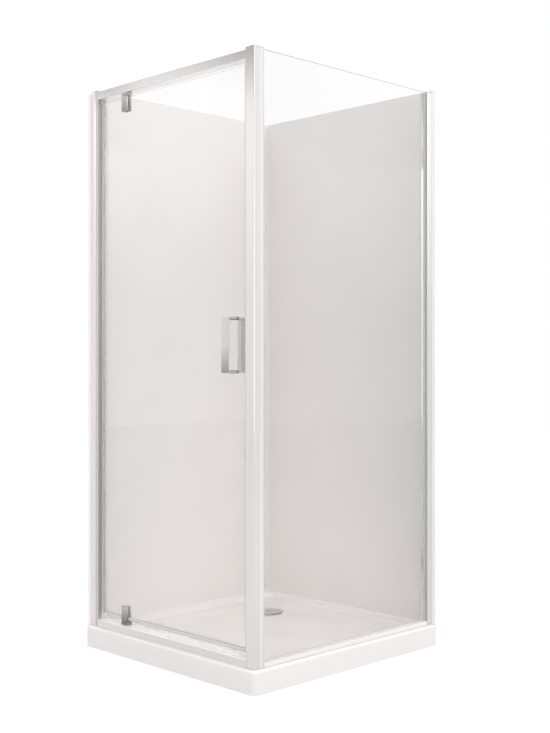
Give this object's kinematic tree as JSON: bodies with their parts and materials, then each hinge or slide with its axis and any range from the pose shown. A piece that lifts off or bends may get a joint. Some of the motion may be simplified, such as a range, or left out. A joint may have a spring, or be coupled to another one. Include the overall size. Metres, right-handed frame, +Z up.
{
  "type": "corner shower enclosure",
  "caption": "Corner shower enclosure: square tray, lining for two walls, framed pivot door with back-to-back bar handles, fixed glass return and lift-out waste strainer.",
  "frame": {"origin": "middle of the tray's square footprint, at floor level", "axes": "+Z up; the door face looks along -Y, the fixed glass return along +X, and the lined walls stand at -X and +Y"},
  "size_m": [0.9, 0.9, 2.0265],
  "materials": {
    "white_acrylic": "smooth white moulded acrylic, softly glossy",
    "white_foam": "expanded foam beads",
    "satin_aluminium": "bright satin, pale",
    "polished_chrome": "polished, lightly brushed on the bars",
    "clear_glass": "clear toughened pane, polished edges",
    "grey_seal": "smooth grey extruded seal",
    "clear_seal": "translucent extruded seal",
    "white_nylon": "moulded nylon",
    "steel_screw": "plain stainless steel",
    "grey_waste": "satin grey plated cover"
  },
  "bodies": {
    "enclosure": {"shower_tray": "white_acrylic", "tray_foam_base": "white_foam", "waste_body": "white_nylon", "waste_gasket": "grey_seal", "waste_nut": "white_nylon", "wall_liner": "white_acrylic", "wall_channel_door": "satin_aluminium", "jamb_profile": "satin_aluminium", "jamb_cap": "satin_aluminium", "jamb_screw_1": "steel_screw", "jamb_screw_2": "steel_screw", "jamb_screw_3": "steel_screw", "wall_channel_return": "satin_aluminium", "wall_channel_return_cap": "satin_aluminium", "return_glass": "clear_glass", "return_wall_gasket": "grey_seal", "return_post_gasket": "clear_seal", "return_bottom_gasket": "clear_seal", "return_bottom_channel": "satin_aluminium", "corner_post": "satin_aluminium", "corner_post_cap": "satin_aluminium", "head_rail": "satin_aluminium", "sill_rail": "satin_aluminium", "strike_profile": "satin_aluminium", "top_pivot_bracket": "polished_chrome", "top_pivot_bracket_screw_1": "steel_screw", "top_pivot_bracket_screw_2": "steel_screw", "top_pivot_pin": "steel_screw", "bottom_pivot_bracket": "polished_chrome", "bottom_pivot_bracket_screw_1": "steel_screw", "bottom_pivot_bracket_screw_2": "steel_screw", "bottom_pivot_pin": "steel_screw"},
    "door": {"door_glass": "clear_glass", "door_pivot_seal": "grey_seal", "door_closing_seal": "clear_seal", "drip_seal_short": "grey_seal", "drip_seal_long": "grey_seal", "top_pivot_block": "polished_chrome", "top_clamp_plate": "polished_chrome", "top_clamp_pad_outer": "clear_seal", "top_clamp_pad_inner": "clear_seal", "top_clamp_screw_1": "steel_screw", "top_clamp_screw_2": "steel_screw", "top_pivot_bush": "white_nylon", "bottom_pivot_block": "polished_chrome", "bottom_clamp_plate": "polished_chrome", "bottom_clamp_pad_outer": "clear_seal", "bottom_clamp_pad_inner": "clear_seal", "bottom_clamp_screw_1": "steel_screw", "bottom_clamp_screw_2": "steel_screw", "bottom_pivot_bush": "white_nylon", "handle_outer": "polished_chrome", "handle_inner": "polished_chrome", "handle_stud_lower": "steel_screw", "handle_stud_upper": "steel_screw"},
    "waste_insert": {"waste_cover": "grey_waste", "strainer_basket": "white_nylon"}
  },
  "joints": [
    {"name": "door_pivot", "type": "hinge", "parent": "enclosure", "child": "door", "pos_m": [-0.265, -0.408, 0], "axis": [0, 0, -1], "range_deg": [0, 95]},
    {"name": "waste_lift", "type": "slide", "parent": "enclosure", "child": "waste_insert", "axis": [0, 0, 1], "range_m": [0, 0.08]}
  ]
}
